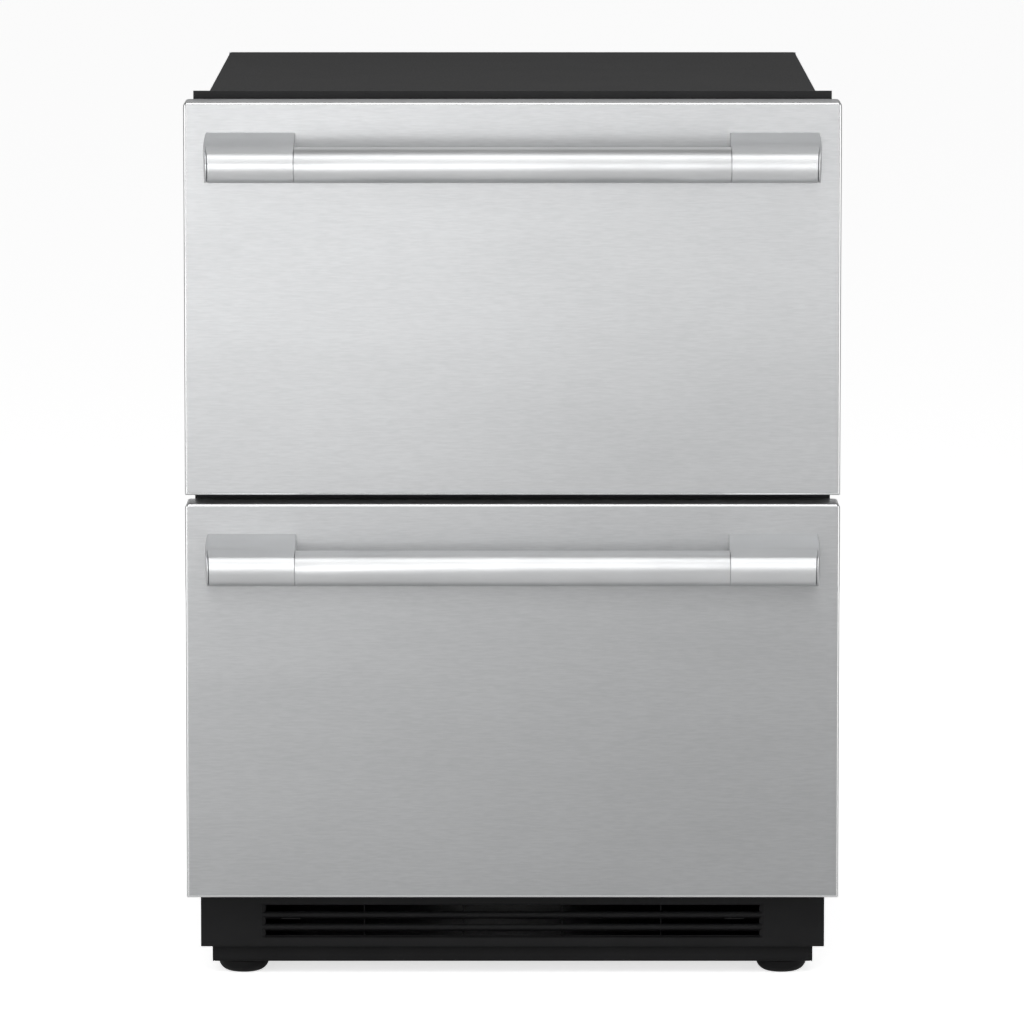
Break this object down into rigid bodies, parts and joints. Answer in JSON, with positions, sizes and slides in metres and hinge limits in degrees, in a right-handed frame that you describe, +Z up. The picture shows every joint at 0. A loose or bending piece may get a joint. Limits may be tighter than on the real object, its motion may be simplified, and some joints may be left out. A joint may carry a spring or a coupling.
{
  "type": "undercounter drawer refrigerator",
  "caption": "Undercounter refrigerator with stacked stainless drawers on telescopic slides, bar handles, louvred kick plate and levelling feet.",
  "frame": {"origin": "on the floor, under the middle of the whole, handles included", "axes": "+X to the right seen from the front, +Y from the fronts to the back, +Z up"},
  "size_m": [0.606, 0.6686, 0.832],
  "materials": {
    "stainless": "stainless steel, brushed along its width",
    "handle_steel": "stainless steel, satin polished",
    "black_steel": "black pre-coated steel sheet, satin",
    "black_trim": "black coated steel, semi-gloss",
    "black_enamel": "black stove enamel, gloss",
    "black_plastic": "black moulded plastic, fine texture",
    "dark_plastic": "dark grey moulded plastic",
    "liner_plastic": "thermoformed light grey liner plastic, satin",
    "bin_plastic": "moulded white plastic, satin",
    "zinc_steel": "galvanised steel sheet",
    "aluminium_fins": "plain aluminium fins on tube",
    "copper": "drawn copper tube",
    "rubber": "soft extruded seal and mount rubber",
    "foam": "rigid polyurethane foam, closed in",
    "lens": "frosted light lens"
  },
  "bodies": {
    "cabinet": {"outer_wrap": "black_steel", "face_frame": "black_trim", "mullion_rail": "liner_plastic", "inner_liner": "liner_plastic", "foam_insulation": "foam", "machine_bulkhead": "zinc_steel", "rear_panel": "zinc_steel", "rear_cover": "zinc_steel", "base_pan": "black_steel", "kick_plate": "black_plastic", "compressor": "black_enamel", "compressor_mounts": "rubber", "condenser": "aluminium_fins", "condenser_fan_shroud": "black_plastic", "condenser_fan_motor": "dark_plastic", "drip_tray": "black_plastic", "drain_tube": "liner_plastic", "refrigerant_lines": "copper", "evaporator": "aluminium_fins", "evaporator_cover": "liner_plastic", "evaporator_fan_motor": "dark_plastic", "control_housing": "liner_plastic", "light_lens": "lens", "cord_gland": "black_plastic", "upper_left_outer_rail": "zinc_steel", "upper_right_outer_rail": "zinc_steel", "lower_left_outer_rail": "zinc_steel", "lower_right_outer_rail": "zinc_steel"},
    "condenser_fan": {"condenser_fan_blade": "dark_plastic"},
    "evaporator_fan": {"evaporator_fan_blade": "dark_plastic"},
    "foot_front_left": {"foot_front_left": "black_plastic"},
    "foot_front_right": {"foot_front_right": "black_plastic"},
    "foot_rear_left": {"foot_rear_left": "black_plastic"},
    "foot_rear_right": {"foot_rear_right": "black_plastic"},
    "upper_drawer": {"upper_front_skin": "stainless", "upper_front_core": "foam", "upper_front_panel": "liner_plastic", "upper_gasket": "rubber", "upper_handle_bar": "handle_steel", "upper_handle_bracket_left": "handle_steel", "upper_handle_bracket_right": "handle_steel", "upper_bin": "bin_plastic", "upper_carrier": "zinc_steel", "upper_left_inner_rail": "zinc_steel", "upper_right_inner_rail": "zinc_steel"},
    "upper_middle_rails": {"upper_left_middle_rail": "zinc_steel", "upper_right_middle_rail": "zinc_steel"},
    "lower_drawer": {"lower_front_skin": "stainless", "lower_front_core": "foam", "lower_front_panel": "liner_plastic", "lower_gasket": "rubber", "lower_handle_bar": "handle_steel", "lower_handle_bracket_left": "handle_steel", "lower_handle_bracket_right": "handle_steel", "lower_bin": "bin_plastic", "lower_carrier": "zinc_steel", "lower_left_inner_rail": "zinc_steel", "lower_right_inner_rail": "zinc_steel"},
    "lower_middle_rails": {"lower_left_middle_rail": "zinc_steel", "lower_right_middle_rail": "zinc_steel"}
  },
  "joints": [
    {"name": "upper_drawer_slide", "type": "slide", "parent": "cabinet", "child": "upper_drawer", "axis": [0, -1, 0], "range_m": [0, 0.42]},
    {"name": "upper_middle_slide", "type": "slide", "parent": "cabinet", "child": "upper_middle_rails", "axis": [0, -1, 0], "range_m": [0, 0.21]},
    {"name": "lower_drawer_slide", "type": "slide", "parent": "cabinet", "child": "lower_drawer", "axis": [0, -1, 0], "range_m": [0, 0.42]},
    {"name": "lower_middle_slide", "type": "slide", "parent": "cabinet", "child": "lower_middle_rails", "axis": [0, -1, 0], "range_m": [0, 0.21]},
    {"name": "foot_front_left_height", "type": "slide", "parent": "cabinet", "child": "foot_front_left", "axis": [0, 0, -1], "range_m": [0, 0.025]},
    {"name": "foot_front_right_height", "type": "slide", "parent": "cabinet", "child": "foot_front_right", "axis": [0, 0, -1], "range_m": [0, 0.025]},
    {"name": "foot_rear_left_height", "type": "slide", "parent": "cabinet", "child": "foot_rear_left", "axis": [0, 0, -1], "range_m": [0, 0.025]},
    {"name": "foot_rear_right_height", "type": "slide", "parent": "cabinet", "child": "foot_rear_right", "axis": [0, 0, -1], "range_m": [0, 0.025]},
    {"name": "condenser_fan_spin", "type": "hinge", "parent": "cabinet", "child": "condenser_fan", "pos_m": [-0.083, 0.22775, 0.117], "axis": [1, 0, 0], "continuous": true},
    {"name": "evaporator_fan_spin", "type": "hinge", "parent": "cabinet", "child": "evaporator_fan", "pos_m": [0, 0.25425, 0.36], "axis": [0, 1, 0], "continuous": true}
  ],
  "couplings": [
    {"joint": "upper_middle_slide", "follows": "upper_drawer_slide", "ratio": 0.5},
    {"joint": "lower_middle_slide", "follows": "lower_drawer_slide", "ratio": 0.5}
  ]
}
